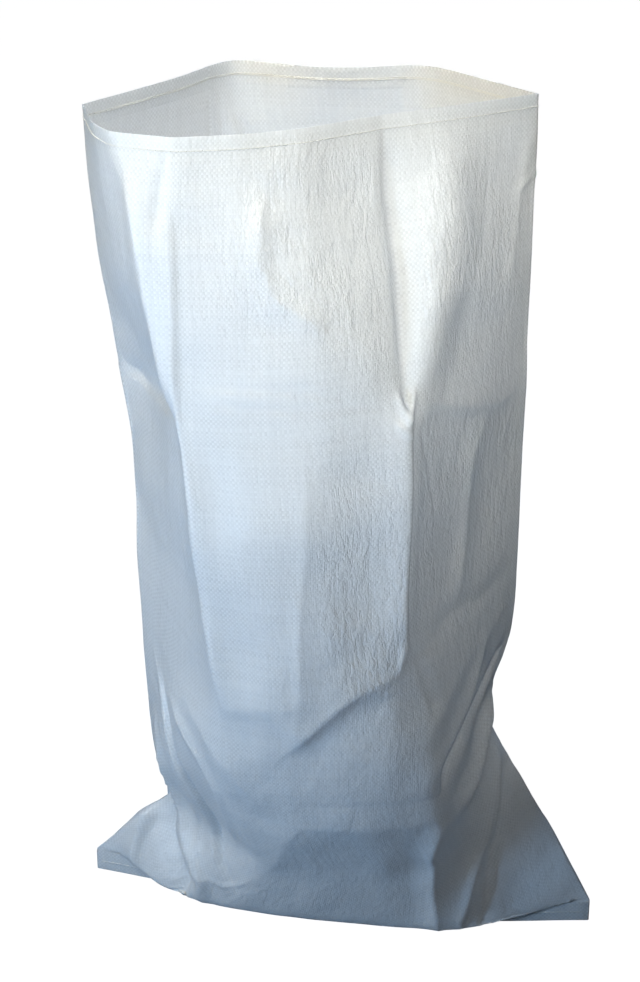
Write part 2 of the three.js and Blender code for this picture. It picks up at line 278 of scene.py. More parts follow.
# Waviness of the cloth: the size of the waves, and their height on the front and on the back
WAVES = [(75, 0.9, 2.8), (38, 0.7, 1.3), (20, 0.35, 0.45)]
# Waves are made for this length of cloth, and this factor brings them to about their height
WAVE_LENGTH = 1100
WAVE_GAIN = 2.2

# Folds and waves start this far over BAND_TOP, grow over the next length, and fade over the third one
# below the rim; the back's own waves come in over the last one from the side edges
CALM, RISE_LENGTH, RIM_LENGTH, SIDE_LENGTH = 2, 25, 60, 60

# The camera's place in metres, its lens in millimetres and its tilt down in degrees
CAMERA_PLACE = (-0.0207, -1.9932, 1.45)
CAMERA_LENS = 81.05
CAMERA_TILT = 25.64


def lengths_along(line):
    """How far along a line of corners each of them lies."""
    return np.r_[0, np.cumsum(np.linalg.norm(np.diff(line, axis=0), axis=1))]


def points_at(places, marks, line):
    """Points at places along a line of corners, which lie at the marks."""
    return np.stack([np.interp(places, marks, column) for column in line.T], -1)


def evenly(line, fractions):
    """Points at fractions of the length of a line of corners."""
    marks = lengths_along(line)
    return points_at(fractions * marks[-1], marks, line)


def smooth_curve(points, count):
    """Points along a Catmull-Rom curve, evenly spaced by length."""
    points = np.array(points, float)
    padded = np.vstack([2 * points[0] - points[1], points, 2 * points[-1] - points[-2]])
    f = np.linspace(0, 1, 60, endpoint=False)[:, None]
    parts = []
    for a, b, c, d in zip(padded, padded[1:], padded[2:], padded[3:]):
        parts.append(0.5 * (2 * b + (c - a) * f + (2 * a - 5 * b + 4 * c - d) * f**2
                            + (3 * b - a - 3 * c + d) * f**3))
    curve = np.vstack(parts + [points[-1:]])
    return evenly(curve, np.linspace(0, 1, count))


SEAM_CURVE = smooth_curve(SEAM, 561)


def seam_at(fraction):
    """Level places on the seam line."""
    return points_at(fraction, np.linspace(0, 1, len(SEAM_CURVE)), SEAM_CURVE)


def seam_front(fraction):
    """Level unit vector from the seam towards the front."""
    step = 0.004
    way = seam_at(np.clip(fraction + step, 0, 1)) - seam_at(np.clip(fraction - step, 0, 1))
    way /= np.linalg.norm(way, axis=-1, keepdims=True)
    return np.stack([way[..., 1], -way[..., 0]], -1)


def panel_place(s):
    """For each column: is it on the front, and how far from the left edge is it, from 0 to 1."""
    is_front = s <= FLAT_WIDTH
    return is_front, np.where(is_front, s, GIRTH - s) / FLAT_WIDTH


def ring_points(ring, s):
    """The points of one level section at the columns s, each panel spread evenly."""
    front, back = ring
    is_front, fraction = panel_place(s)
    front_line = np.array(front, float)
    back_line = np.array([front[0]] + list(back)[::-1] + [front[-1]], float)
    on_front, on_back = evenly(front_line, fraction), evenly(back_line, fraction)
    return np.where(is_front[:, None], on_front, on_back)


def between_rings(rings, heights, z):
    """A section at height z, by a cubic through the sections around it."""
    k = int(np.clip(np.searchsorted(heights, z) - 1, 0, len(heights) - 2))
    height = heights[k + 1] - heights[k]
    f = (z - heights[k]) / height
    rises = np.diff(rings, axis=0) / np.diff(heights)[:, None, None]
    slopes = np.concatenate([rises[:1], 0.5 * (rises[1:] + rises[:-1]), rises[-1:]]) * height
    return ((2 * f**3 - 3 * f**2 + 1) * rings[k] + (f**3 - 2 * f**2 + f) * slopes[k]
            + (-2 * f**3 + 3 * f**2) * rings[k + 1] + (f**3 - f**2) * slopes[k + 1])


def sections(s):
    """The sack before its folds: rows of points from the top of the bottom fold to the rim."""
    is_front, fraction = panel_place(s)
    side = np.where(is_front, 1.0, -1.0)
    layer = np.where(is_front, -FRONT_LAYER, -BACK_LAYER)
    seam, front = seam_at(fraction), seam_front(fraction)
    heights = np.array(sorted(RINGS), float)
    rings = np.array([ring_points(RINGS[height], s) for height in sorted(RINGS)])
    # away from the ears the cloth rolls out over the bottom fold and hangs to just over the floor
    places, rolls, lows = np.array(BULGE).T
    roll, low = np.interp(fraction, places, rolls), np.interp(fraction, places, lows)
    passes_edge = is_front & (low < BAND_HEIGHT)
    lip = np.where(passes_edge, LIP_REACH, layer)
    out = np.where(passes_edge, np.maximum(layer + roll, LIP_REACH), layer + side * roll)
    level = np.ones(len(s))
    foot = np.c_[seam + out[:, None] * front, low]
    top = np.c_[rings[0], heights[0] * level]
    reach = BULGE_RISE + BULGE_REACH * roll / rolls.max()
    rows = [
        np.c_[seam + layer[:, None] * front, BAND_TOP * level],
        np.c_[seam + lip[:, None] * front, (BAND_TOP + LIP_RISE) * level],
        foot,
        foot + (top - foot) * np.c_[reach, reach, BULGE_RISE * level],
    ]
    below, above = heights <= FOLD_HEIGHT, heights >= FOLD_HEIGHT
    for z in np.linspace(heights[0], heights[-1], LEVEL_ROWS):
        part = below if z <= FOLD_HEIGHT else above
        rows.append(np.c_[between_rings(rings[part], heights[part], z), z * level])
    return np.array(rows) + SHIFT


def places_between(marks, spacing):
    """Places from the first mark to the last, with one more close beside each mark.

    The number of steps between two marks is a multiple of four, as the pairs round the tube need.
    """
    places = [marks[0]]
    for start, end in zip(marks, marks[1:]):
        steps = 4 * round(((end - start) / spacing + 2) / 4) - 2
        places.extend(np.linspace(start + EDGE_STEP, end - EDGE_STEP, steps + 1))
        places.append(end)
    return np.array(places)


def blend_to(places, mark, reach):
    """1 at a mark, falling to 0 at its reach."""
    return np.clip(1 - np.abs(places - mark) / reach, 0, 1)**1.5


class Grid:
    """Where the cloth's points lie on the flat tube, and the sack's shape before its folds."""

    # The sections are first measured on a grid this fine
    DENSE = 2.0

    def __init__(self):
        marks = sorted(column for column, _ in EDGES.values())
        on_front = [mark for mark in marks if mark <= FLAT_WIDTH]
        on_back = [mark for mark in marks if mark >= FLAT_WIDTH] + [GIRTH]
        back_columns = places_between(on_back, BACK_STEP)[1:-1]
        self.columns = np.r_[places_between(on_front, FRONT_STEP), back_columns]
        self.dense_s = np.arange(0, GIRTH, self.DENSE)
        self.dense_t = np.arange(BAND_TOP, RIM, self.DENSE)
        rows = sections(self.dense_s)
        lengths = np.linalg.norm(np.diff(rows, axis=0), axis=2)
        lengths = np.concatenate([np.zeros((1, len(self.dense_s))), np.cumsum(lengths, 0)])
        fractions = (self.dense_t - BAND_TOP) / (RIM - BAND_TOP)
        dense = [evenly(rows[:, k], fractions) for k in range(len(self.dense_s))]
        self.dense = np.stack(dense, 1)
        # where the fold across the sack lies on the cloth
        level = -LEVEL_ROWS
        at_fold = np.array([np.interp(FOLD_HEIGHT, rows[level:, k, 2], lengths[level:, k]) / lengths[-1, k]
                            for k in range(len(self.dense_s))])
        self.fold_t = BAND_TOP + at_fold * (RIM - BAND_TOP)
        middle = round(float(self.fold_t.mean()))
        self.rows = places_between([BAND_TOP, middle, RIM], ROW_STEP)
        s, t = np.meshgrid(self.columns, self.rows)
        fold = np.interp(s, self.dense_s, self.fold_t, period=GIRTH)
        t = t + blend_to(t, middle, EDGE_REACH) * (fold - middle)
        for column, way in EDGES.values():
            way = np.array(way, float)
            shift = np.interp(t, way[:, 1], way[:, 0]) - column
            s = s + blend_to((s - column + FLAT_WIDTH) % GIRTH, FLAT_WIDTH, EDGE_REACH) * shift
        self.s, self.t = s, t
        self.fold_distance = t - fold

    def start(self):
        """The points before their folds."""
        u, v = (self.s % GIRTH) / self.DENSE, (self.t - BAND_TOP) / self.DENSE
        i = np.clip(np.floor(v).astype(int), 0, len(self.dense_t) - 2)
        j = np.floor(u).astype(int)
        share_v, share_u = (v - i)[..., None], (u - j)[..., None]
        j, k = j % len(self.dense_s), (j + 1) % len(self.dense_s)
        low = self.dense[i, j] * (1 - share_u) + self.dense[i, k] * share_u
        high = self.dense[i + 1, j] * (1 - share_u) + self.dense[i + 1, k] * share_u
        return low * (1 - share_v) + high * share_v


def line_distance(s, t, points):
    """Signed distance to a line on the cloth, and how far along it the nearest place is."""
    points = np.array(points, float)
    starts = lengths_along(points)
    nearest = np.full(s.shape, 1e9)
    side = np.ones(s.shape)
    along = np.zeros(s.shape)
    for point, way, start in zip(points, np.diff(points, axis=0), starts):
        length = np.linalg.norm(way)
        ds = (s - point[0] + FLAT_WIDTH) % GIRTH - FLAT_WIDTH
        dt = t - point[1]
        f = np.clip((ds * way[0] + dt * way[1]) / length**2, 0, 1)
        distance = np.hypot(ds - f * way[0], dt - f * way[1])
        is_nearer = distance < nearest
        nearest = np.where(is_nearer, distance, nearest)
        side = np.where(is_nearer, np.sign(way[0] * dt - way[1] * ds), side)
        along = np.where(is_nearer, (start + f * length) / starts[-1], along)
    return nearest * side, along


def fold_heights(s, t, folds):
    """How far some folds or creases push the cloth out or in."""
    total = np.zeros(s.shape)
    for name, (points, height, left, right) in folds.items():
        distance, along = line_distance(s, t, points)
        x = np.clip(1 - np.abs(distance) / np.where(distance > 0, left, right), 0, 1)
        profile = x * x * (3 - 2 * x) if name in SOFT_FOLDS else x**SHARP_POWER
        ends = np.clip(np.minimum(along, 1 - along) / FOLD_FADE, 0, 1)
        total += height * profile * (FOLD_END + (1 - FOLD_END) * ends)
    return total


def smooth_noise(s, t, size, seed):
    """Rounded waves of about one size, closed round the tube."""
    random = np.random.default_rng(seed)
    columns, rows = max(4, round(GIRTH / size)), int(WAVE_LENGTH / size) + 4
    values = random.standard_normal((rows, columns))
    u, v = s / GIRTH * columns, t / size
    i, j = np.floor(v).astype(int), np.floor(u).astype(int)

    def spline(f):
        return [(1 - f)**3 / 6, (3 * f**3 - 6 * f**2 + 4) / 6,
                (-3 * f**3 + 3 * f**2 + 3 * f + 1) / 6, f**3 / 6]

    weights_u, weights_v = spline(u - j), spline(v - i)
    total = 0
    for a, weight_v in enumerate(weights_v):
        for b, weight_u in enumerate(weights_u):
            total = total + weight_v * weight_u * values[np.clip(i + a, 0, rows - 1), (j + b) % columns]
    return WAVE_GAIN * total


def pairs_round(count, skip):
    """Pairs of columns that lie skip apart round the tube, in sets that share no column."""
    sets = []
    for first in range(skip):
        sets.append((slice(first, None, 2 * skip), slice(first + skip, None, 2 * skip)))
        sets.append((slice(first + skip, count - skip, 2 * skip), slice(first + 2 * skip, None, 2 * skip)))
        sets.append((slice(count - skip + first, count - skip + first + 1), slice(first, first + 1)))
    return [((slice(None), a), (slice(None), b)) for a, b in sets]


def row_sets(count, skip):
    """Pairs of rows that lie skip apart up the cloth, in sets that share no row."""
    sets = []
    for first in range(2 * skip):
        last = first + (count - skip - 1 - first) // (2 * skip) * 2 * skip
        if last >= first:
            sets.append((slice(first, last + 1, 2 * skip), slice(first + skip, last + skip + 1, 2 * skip)))
    return sets


def pairs_up(count, skip):
    return [((a, slice(None)), (b, slice(None))) for a, b in row_sets(count, skip)]


def pairs_across(rows, columns):
    """Pairs of points at the opposite corners of the cloth's squares."""
    left, right = slice(0, columns - 1), slice(1, columns)
    last, first = slice(columns - 1, columns), slice(0, 1)
    pairs = []
    for a, b in row_sets(rows, 1):
        pairs += [((a, left), (b, right)), ((a, last), (b, first))]
        pairs += [((a, right), (b, left)), ((a, first), (b, last))]
    return pairs


class Cloth:
    """Cloth that keeps its own lengths while it is drawn towards a wished shape."""

    # Drawing towards the wished shape in each step, over most of the cloth and at the rim, this deep
    DRAW, RIM_DRAW, RIM_DEPTH = 0.02, 0.5, 14
    # Resistance to bending, over most of the cloth and along its edges, and to shear
    BENDING, CREASE_BENDING = 0.15, 0.02
    SHEAR = 0.3
    # The threads are this many times as long as on the smooth sections
    SLACK = 1.003
    # Nearest that the front and back panels come, below a height where they face each other
    PANEL_GAP = 0.8
    PANEL_HEIGHT = 330.0
    # Lowest that the loose cloth hangs over the floor
    LOWEST = 0.6

    def __init__(self, s, t, base, wished):
        self.points = wished.astype(np.float32)
        self.points[0] = base[0]
        self.wished = wished.astype(np.float32)
        self.fixed = base[0].astype(np.float32)
        rows, columns = len(t), len(s)
        self.free = np.ones((rows, columns), np.float32)
        self.free[0] = 0
        self.draw = np.full((rows, columns), self.DRAW, np.float32)
        self.draw[t > RIM - self.RIM_DEPTH] = self.RIM_DRAW
        self.bending = np.full((rows, columns), self.BENDING, np.float32)
        for column, way in EDGES.values():
            near = np.abs((s - column + FLAT_WIDTH) % GIRTH - FLAT_WIDTH) < 2 * EDGE_STEP
            self.bending[np.ix_(t > way[0][1], near)] = self.CREASE_BENDING
        self.lengths = self.rests(pairs_round(columns, 1) + pairs_up(rows, 1), base, self.SLACK)
        self.shears = self.rests(pairs_across(rows, columns), base, self.SLACK)
        self.bends = self.rests(pairs_round(columns, 2) + pairs_up(rows, 2), base, 1.0)
        self.panel_rows = int(np.searchsorted(t, self.PANEL_HEIGHT))
        self.right = int(np.argmin(np.abs(s - FLAT_WIDTH)))
        front, back = s[1:self.right], GIRTH - s[self.right + 1:]
        self.panel_front = seam_front(front / FLAT_WIDTH).astype(np.float32)
        self.behind = np.abs(front[:, None] - back).argmin(1)
        self.before = np.abs(back[:, None] - front).argmin(1)

    @staticmethod
    def rests(pairs, base, slack):
        """Each set of pairs with the lengths that it keeps."""
        kept = []
        for a, b in pairs:
            kept.append((a, b, (slack * np.linalg.norm(base[b] - base[a], axis=-1)).astype(np.float32)))
        return kept

    def pull(self, pairs, stiffness, is_bending=False):
        """Moves pairs of points towards their lengths, or only apart where they resist bending."""
        for a, b, rest in pairs:
            start, end = self.points[a], self.points[b]
            way = end - start
            length = np.sqrt(np.einsum("...k,...k", way, way)) + 1e-9
            change = (length - rest) / length
            if is_bending:
                change = np.minimum(change, 0) * 0.5 * (self.bending[a] + self.bending[b])
            free_start, free_end = self.free[a], self.free[b]
            change *= stiffness / (free_start + free_end + 1e-9)
            start += (free_start * change)[..., None] * way
            end -= (free_end * change)[..., None] * way

    def part_panels(self):
        """Keeps the front panel in front of the back panel near the ears."""
        front = self.points[:self.panel_rows, 1:self.right, :2]
        back = self.points[:self.panel_rows, self.right + 1:, :2]
        gap = np.einsum("ijk,jk->ij", front - back[:, self.behind], self.panel_front)
        push = (0.5 * np.maximum(self.PANEL_GAP - gap, 0))[..., None] * self.panel_front
        front += push
        back -= push[:, self.before]

    def settle(self, steps):
        for _ in range(steps):
            self.points += (self.draw * self.free)[..., None] * (self.wished - self.points)
            self.pull(self.bends, 1.0, is_bending=True)
            self.pull(self.lengths, 1.0)
            self.pull(self.shears, self.SHEAR)
            self.part_panels()
            np.maximum(self.points[..., 2], self.LOWEST, out=self.points[..., 2])
            self.points[0] = self.fixed
        return self.points.astype(float)


def grid_normals(points):
    """Unit vectors out of the cloth at every point of the grid."""
    round_tube = np.roll(points, -1, 1) - np.roll(points, 1, 1)
    up_cloth = np.gradient(points, axis=0)
    normals = np.cross(round_tube, up_cloth)
    return normals / (np.linalg.norm(normals, axis=2, keepdims=True) + 1e-9)


def soften(points, hold, times):
    """Smooths the grid, less where hold is near 1."""
    points = points.copy()
    free = (1 - hold)[..., None]
    for _ in range(times):
        smooth = 0.25 * (np.roll(points, 1, 1) + np.roll(points, -1, 1)) + 0.5 * points
        points += free * (smooth - points)
        smooth = points.copy()
        smooth[1:-1] = 0.25 * (points[2:] + points[:-2]) + 0.5 * points[1:-1]
        points += free * (smooth - points)
    return points


def held_places(grid):
    """1 where smoothing leaves the cloth alone, down to 0."""
    hold = np.zeros(grid.s.shape)
    for _, way in EDGES.values():
        distance, _ = line_distance(grid.s, grid.t, way)
        hold = np.maximum(hold, np.clip(1 - np.abs(distance) / CREASE_REACH, 0, 1))
    hold = np.maximum(hold, FOLD_HOLD * np.clip(1 - np.abs(grid.fold_distance) / CREASE_REACH, 0, 1))
    return np.maximum(hold, np.clip((BAND_TOP + FOOT_TOP - grid.t) / FOOT_FADE, 0, 1))


def settled_cloth(grid):
    """The points of the standing sack above its bottom fold."""
    base = soften(grid.start(), held_places(grid), round(SMOOTHING / ROW_STEP**2))
    out = fold_heights(grid.s, grid.t, FOLDS)
    on_back = np.clip(np.minimum(grid.s - FLAT_WIDTH, GIRTH - grid.s) / SIDE_LENGTH, 0, 1)
    for seed, (size, front, back) in enumerate(WAVES, start=1):
        out += (front + (back - front) * on_back) * smooth_noise(grid.s, grid.t, size, seed)
    foot_end = np.clip((grid.t - BAND_TOP - CALM) / RISE_LENGTH, 0, 1)
    ends = foot_end * np.clip((RIM - grid.t) / RIM_LENGTH, 0, 1)
    wished = base + (ends * out)[..., None] * grid_normals(base)
    settled = Cloth(grid.columns, grid.rows, base, wished).settle(STEPS)
    sharp = {name: fold for name, fold in FOLDS.items() if name not in SOFT_FOLDS}
    fine = SHARPENING * fold_heights(grid.s, grid.t, sharp) + fold_heights(grid.s, grid.t, CREASES)
    return settled + (ends * fine)[..., None] * grid_normals(settled)


def bottom_fold(s):
    """Rows of the folded and sewn bottom, from its raw edge down to the floor and up behind."""
    is_front, fraction = panel_place(s)
    seam, front = seam_at(fraction), seam_front(fraction)
    layer = np.where(is_front, FRONT_LAYER, BACK_LAYER)
    layer[np.isclose(s % FLAT_WIDTH, 0)] = 0.5 * (FRONT_LAYER + BACK_LAYER)
    rows, t = [], []

    def add(distance, z, place):
        rows.append(np.c_[seam + distance[:, None] * front, z] + SHIFT)
        t.append(place)

    level = np.ones(len(s))
    for height in BAND_ROWS:
        add(layer, height * level, -height)
    for turn in np.linspace(0, math.pi, 5):
        add(layer * math.cos(turn), LOOP_HEIGHT - layer * math.sin(turn), -LOOP_HEIGHT * math.cos(turn))
    for height in BAND_ROWS[:0:-1]:
        add(-layer, height * level, height)
    return np.array(rows), t


def turned_hem(t, points):
    """Rows of the hem, over the rim and down inside it."""
    normals = grid_normals(points)
    rows, places = [], []
    for turn in (0.25, 0.5, 0.75):
        inwards = 0.5 * HEM_GAP * (1 - math.cos(math.pi * turn))
        upwards = 0.5 * HEM_GAP * math.sin(math.pi * turn)
        rows.append(points[-1] - inwards * normals[-1] + [0, 0, upwards])
        places.append(RIM + HEM_TURN * turn)
    for depth in HEM_ROWS:
        rows.append(row_at(t, points, RIM - depth) - HEM_GAP * row_at(t, normals, RIM - depth))
        places.append(RIM + HEM_TURN + depth)
    return np.array(rows), places


def row_at(t, grid, place):
    """A whole row of a grid at the place t = place."""
    index = np.interp(place, t, np.arange(len(t)))
    low = min(int(index), len(t) - 2)
    share = index - low
    return grid[low] * (1 - share) + grid[low + 1] * share


def new_object(name, data):
    thing = bpy.data.objects.new(name, data)
    bpy.context.scene.collection.objects.link(thing)
    return thing


def tube_mesh(name, points, s, t):
    """A mesh of grid rows closed round the columns, with s and t in metres as its UV map."""
    rows, columns = points.shape[:2]
    i, j = np.meshgrid(np.arange(rows - 1), np.arange(columns), indexing="ij")
    k = (j + 1) % columns
    corners = np.stack([i * columns + j, i * columns + k, (i + 1) * columns + k, (i + 1) * columns + j], -1)
    count = corners.size // 4
    mesh = bpy.data.meshes.new(name)
    mesh.vertices.add(rows * columns)
    mesh.vertices.foreach_set("co", (points / 1000).astype(np.float32).ravel())
    mesh.loops.add(4 * count)
    mesh.loops.foreach_set("vertex_index", corners.astype(np.int32).ravel())
    mesh.polygons.add(count)
    mesh.polygons.foreach_set("loop_start", np.arange(0, 4 * count, 4, dtype=np.int32))
    wrap = np.where(k == 0, GIRTH, 0)
    u = np.stack([s[i, j], s[i, k] + wrap, s[i + 1, k] + wrap, s[i + 1, j]], -1)
    v = np.stack([t[i, j], t[i, k], t[i + 1, k], t[i + 1, j]], -1)
    layer = mesh.uv_layers.new(name="cloth")
    layer.data.foreach_set("uv", (np.stack([u, v], -1) / 1000).astype(np.float32).ravel())
    mesh.update(calc_edges=True)
    mesh.validate()
    mesh.polygons.foreach_set("use_smooth", np.ones(count, bool))
    return mesh


def thread_mesh(name, paths):
    """Threads along paths of points, closed at their ends."""
    vertices, faces = [], []
    angles = np.arange(THREAD_SIDES) * 2 * math.pi / THREAD_SIDES
    for path in paths:
        way = np.gradient(path, axis=0)
        way /= np.linalg.norm(way, axis=1, keepdims=True)
        across = np.cross(way, [0.3, 0.2, 1.0])
        across /= np.linalg.norm(across, axis=1, keepdims=True)
        over = np.cross(way, across)
        ring = path[:, None] + THREAD_RADIUS * (np.cos(angles)[:, None] * across[:, None]
                                                + np.sin(angles)[:, None] * over[:, None])
        first = len(vertices)
        vertices.extend((ring.reshape(-1, 3) / 1000).tolist())
        for i in range(len(path) - 1):
            a = first + i * THREAD_SIDES
            b = a + THREAD_SIDES
            for j in range(THREAD_SIDES):
                k = (j + 1) % THREAD_SIDES
                faces.append((a + j, a + k, b + k, b + j))
        last = len(vertices) - THREAD_SIDES
        faces.append(tuple(first + j for j in reversed(range(THREAD_SIDES))))
        faces.append(tuple(last + j for j in range(THREAD_SIDES)))
    mesh = bpy.data.meshes.new(name)
    mesh.from_pydata(vertices, [], faces)
    mesh.polygons.foreach_set("use_smooth", np.ones(len(faces), bool))
    mesh.update()
    return mesh


class Line:
    """A line on the cloth that a row of stitches follows, by length."""

    def __init__(self, points, outwards, is_loop):
        if is_loop:
            points = np.vstack([points, points[:1]])
            outwards = np.vstack([outwards, outwards[:1]])
        self.points, self.outwards = points, outwards
        self.places = lengths_along(points)
        self.length = self.places[-1]

    def at(self, places, rise):
        """Points at places along the line, raised off the cloth."""
        out = points_at(places, self.places, self.outwards)
        out /= np.linalg.norm(out, axis=1, keepdims=True)
        return points_at(places, self.places, self.points) + rise[:, None] * out


def needle_stitches(line):
    """Plain stitches: each comes up through the cloth, lies along it and goes down again."""
    count = round(line.length / STITCH_LENGTH)
    # by share of a stitch, the thread's middle in radii above the cloth
    shares = np.array([0.03, 0.07, 0.16, 0.5, 0.84, 0.93, 0.97])
    rise = THREAD_RADIUS * np.array([-0.9, 0.2, 0.75, 0.95, 0.75, 0.2, -0.9])
    step = line.length / count
    return [line.at((k + shares) * step, rise) for k in range(count)]


def looper_stitches(line):
    """Chain stitches: each is a narrow loop that reaches into the loop before it."""
    count = round(line.length / STITCH_LENGTH)
    step = line.length / count
    turn = np.linspace(0, 2 * math.pi, 15)[:-1]
    along = 0.5 - 0.62 * np.cos(turn)
    aside = 1.15 * THREAD_RADIUS * np.sin(turn) * (1 + 0.5 * np.cos(turn))
    rise = THREAD_RADIUS * (1.0 + 0.5 * np.cos(turn))
    paths = []
    for k in range(count):
        points = line.at(np.clip((k + along) * step, 0, line.length), rise)
        points[:, 2] += aside * 1.6
        paths.append(np.vstack([points, points[:1]]))
    return paths


class Nodes:
    """Short calls for building a material's node tree."""

    def __init__(self, name):
        self.material = bpy.data.materials.new(name)
        self.material.use_nodes = True
        self.tree = self.material.node_tree
        self.tree.nodes.clear()

    def add(self, kind, inputs, output=0, **settings):
        """One output of a new node, with its inputs linked or set by number or by name."""
        node = self.tree.nodes.new("ShaderNode" + kind)
        for key, value in settings.items():
            setattr(node, key, value)
        for key, value in inputs.items():
            if isinstance(value, bpy.types.NodeSocket):
                self.tree.links.new(value, node.inputs[key])
            else:
                node.inputs[key].default_value = value
        return node.outputs[output]

    def math(self, operation, *values):
        return self.add("Math", dict(enumerate(values)), operation=operation)

    def mix(self, factor, a, b):
        return self.add("Mix", {0: factor, 2: a, 3: b}, data_type="FLOAT")

    def mix_colour(self, factor, a, b, blend="MIX"):
        return self.add("Mix", {0: factor, 6: a, 7: b}, 2, data_type="RGBA", blend_type=blend)

    def stretched(self, vector, scale, shift=0.0):
        """Texture places scaled, and shifted so that another pattern shows."""
        return self.add("Mapping", {"Vector": vector, "Location": (shift, shift, 0.0), "Scale": scale})

    def noise(self, vector, scale, detail=2.0, roughness=0.5, distortion=0.0):
        return self.add("TexNoise", {"Vector": vector, "Scale": scale, "Detail": detail,
                                     "Roughness": roughness, "Distortion": distortion}, "Fac")

    def chance(self, value):
        """A random number from 0 to 1 for each value."""
        return self.add("TexWhiteNoise", {"W": value}, noise_dimensions="1D")

    def ramp(self, value, low, high):
        return self.add("MapRange", {0: value, 1: low, 2: high}, interpolation_type="SMOOTHSTEP")

    def bump(self, height, distance, strength, below=None):
        inputs = {"Height": height, "Distance": distance, "Strength": strength}
        if below:
            inputs["Normal"] = below
        return self.add("Bump", inputs)

    def finished(self, surface):
        """The material, once its surface is linked."""
        output = self.tree.nodes.new("ShaderNodeOutputMaterial")
        self.tree.links.new(surface, output.inputs[0])
        return self.material


def tape_top(n, across, along):
    """Height of a flat tape inside one crossing: level across, bowed along."""
    a, b = [n.math("MULTIPLY_ADD", place, 2.0, -1.0) for place in (across, along)]
    side = n.math("SUBTRACT", 1.0, n.math("POWER", n.math("ABSOLUTE", a), 6.0))
    bow = n.math("SUBTRACT", 1.0, n.math("MULTIPLY", n.math("MULTIPLY", b, b), 0.55))
    return n.math("MULTIPLY", side, bow)


def worn_places(n, u, v):
    """1 where the cloth is crinkled the most, down to 0."""
    worn = 0.0
    for middles, reaches in WORN_PLACES:
        squares = []
        for place, middle, reach in zip((u, v), middles, reaches):
            away = n.math("DIVIDE", n.math("SUBTRACT", place, middle / 1000), reach / 1000)
            squares.append(n.math("MULTIPLY", away, away))
        worn = n.math("MAXIMUM", worn, n.ramp(n.math("ADD", *squares), 1.3, 0.3))
    return worn


def woven_material():
    """Plain weave of flat white plastic tapes that lets some light through."""
    n = Nodes("woven_tape")
    uv = n.add("UVMap", {}, uv_map="cloth")
    u, v = [n.add("SeparateXYZ", {0: uv}, output) for output in (0, 1)]
    # the tapes wander a little
    wander, sway = [n.noise(n.stretched(uv, (1.0, 1.0, 1.0), shift), 20.0, 1.0) for shift in (0.0, 3.0)]
    a = n.math("ADD", n.math("DIVIDE", u, TAPE / 1000), n.math("MULTIPLY_ADD", wander, 0.9, -0.45))
    b = n.math("ADD", n.math("DIVIDE", v, ROUND_TAPE / 1000), n.math("MULTIPLY_ADD", sway, 0.9, -0.45))
    across, along = n.math("FRACT", a), n.math("FRACT", b)
    tape, round_tape = n.math("FLOOR", a), n.math("FLOOR", b)
    parity = n.math("FLOORED_MODULO", n.math("ADD", tape, round_tape), 2.0)
    height = n.mix(parity, tape_top(n, across, along), tape_top(n, along, across))
    # the weave shows more in some places than in others
    clear = n.ramp(n.noise(uv, 14.0), 0.3, 0.7)
    worn = n.math("MULTIPLY", worn_places(n, u, v), n.ramp(n.noise(uv, 16.0, 2.0, 0.6), 0.3, 0.6))
    # crinkles of the thin cloth, most of them lengthwise
    crinkle = n.noise(n.stretched(uv, (1.0, 0.4, 1.0)), 240.0, 3.0, 0.6, 0.8)
    creased = n.noise(n.stretched(uv, (1.0, 0.35, 1.0)), 105.0, distortion=0.6)
    broad = n.noise(uv, 38.0, 3.0, 0.55, 0.3)
    normal = n.bump(height, 0.0002, n.math("MULTIPLY_ADD", clear, 0.4, 0.3))
    normal = n.bump(crinkle, 0.0011, n.math("MULTIPLY_ADD", worn, 0.9, 0.5), normal)
    normal = n.bump(creased, 0.0022, n.math("MULTIPLY_ADD", worn, 0.7, 0.26), normal)
    normal = n.bump(broad, 0.0038, 0.45, normal)
    # every tape has its own shade at random, and the gaps between the tapes are painted darker, as painted
    # shade where the tapes dip under each other
    warp, weft = n.chance(tape), n.chance(n.math("ADD", round_tape, 0.5))
    shade = n.math("MULTIPLY_ADD", n.mix(parity, warp, weft), 0.06, 0.94)
    gap = n.math("MULTIPLY", n.math("SUBTRACT", 1.0, height), 0.04)
    shade = n.math("MULTIPLY", shade, n.math("SUBTRACT", 1.0, gap))
    # painted sheen: where a tape that runs round lies on top, the crossing is painted darker, standing in
    # for the sheen that the lengthwise tapes catch, by a random amount at each crossing and more where the
    # weave shows
    crossing = n.add("CombineXYZ", {0: tape, 1: round_tape})
    chance = n.add("TexWhiteNoise", {"Vector": crossing}, noise_dimensions="2D")
    painted_sheen = n.math("MULTIPLY_ADD", clear, -0.035, -0.03)
    painted_sheen = n.math("MULTIPLY_ADD", chance, -0.05, painted_sheen)
    shade = n.math("MULTIPLY", shade, n.math("MULTIPLY_ADD", parity, painted_sheen, 1.0))
    # the tapes' white with their own tones, the painted shade in the gaps and the painted sheen at the
    # crossings
    base = n.mix_colour(1.0, (0.9, 0.91, 0.92, 1), shade, "MULTIPLY")
    roughness = n.math("MULTIPLY_ADD", crinkle, 0.25, 0.26)
    through = n.mix_colour(1.0, base, (0.94, 0.97, 1.0, 1), "MULTIPLY")
    surface = n.add("BsdfPrincipled", {"Base Color": base, "Roughness": roughness, "Normal": normal})
    glow = n.add("BsdfTranslucent", {"Color": through, "Normal": normal})
    return n.finished(n.add("MixShader", {0: 0.3, 1: surface, 2: glow}))


def thread_material():
    """White twisted sewing thread."""
    n = Nodes("sewing_thread")
    place = n.add("TexCoord", {}, "Object")
    twist = n.add("TexWave", {"Vector": place, "Scale": 900.0}, "Fac", bands_direction="DIAGONAL")
    colour = n.mix_colour(n.noise(place, 2500.0), (0.74, 0.74, 0.72, 1), (0.9, 0.9, 0.88, 1))
    normal = n.bump(twist, 0.0002, 0.6)
    return n.finished(n.add("BsdfPrincipled", {"Base Color": colour, "Roughness": 0.7, "Normal": normal}))


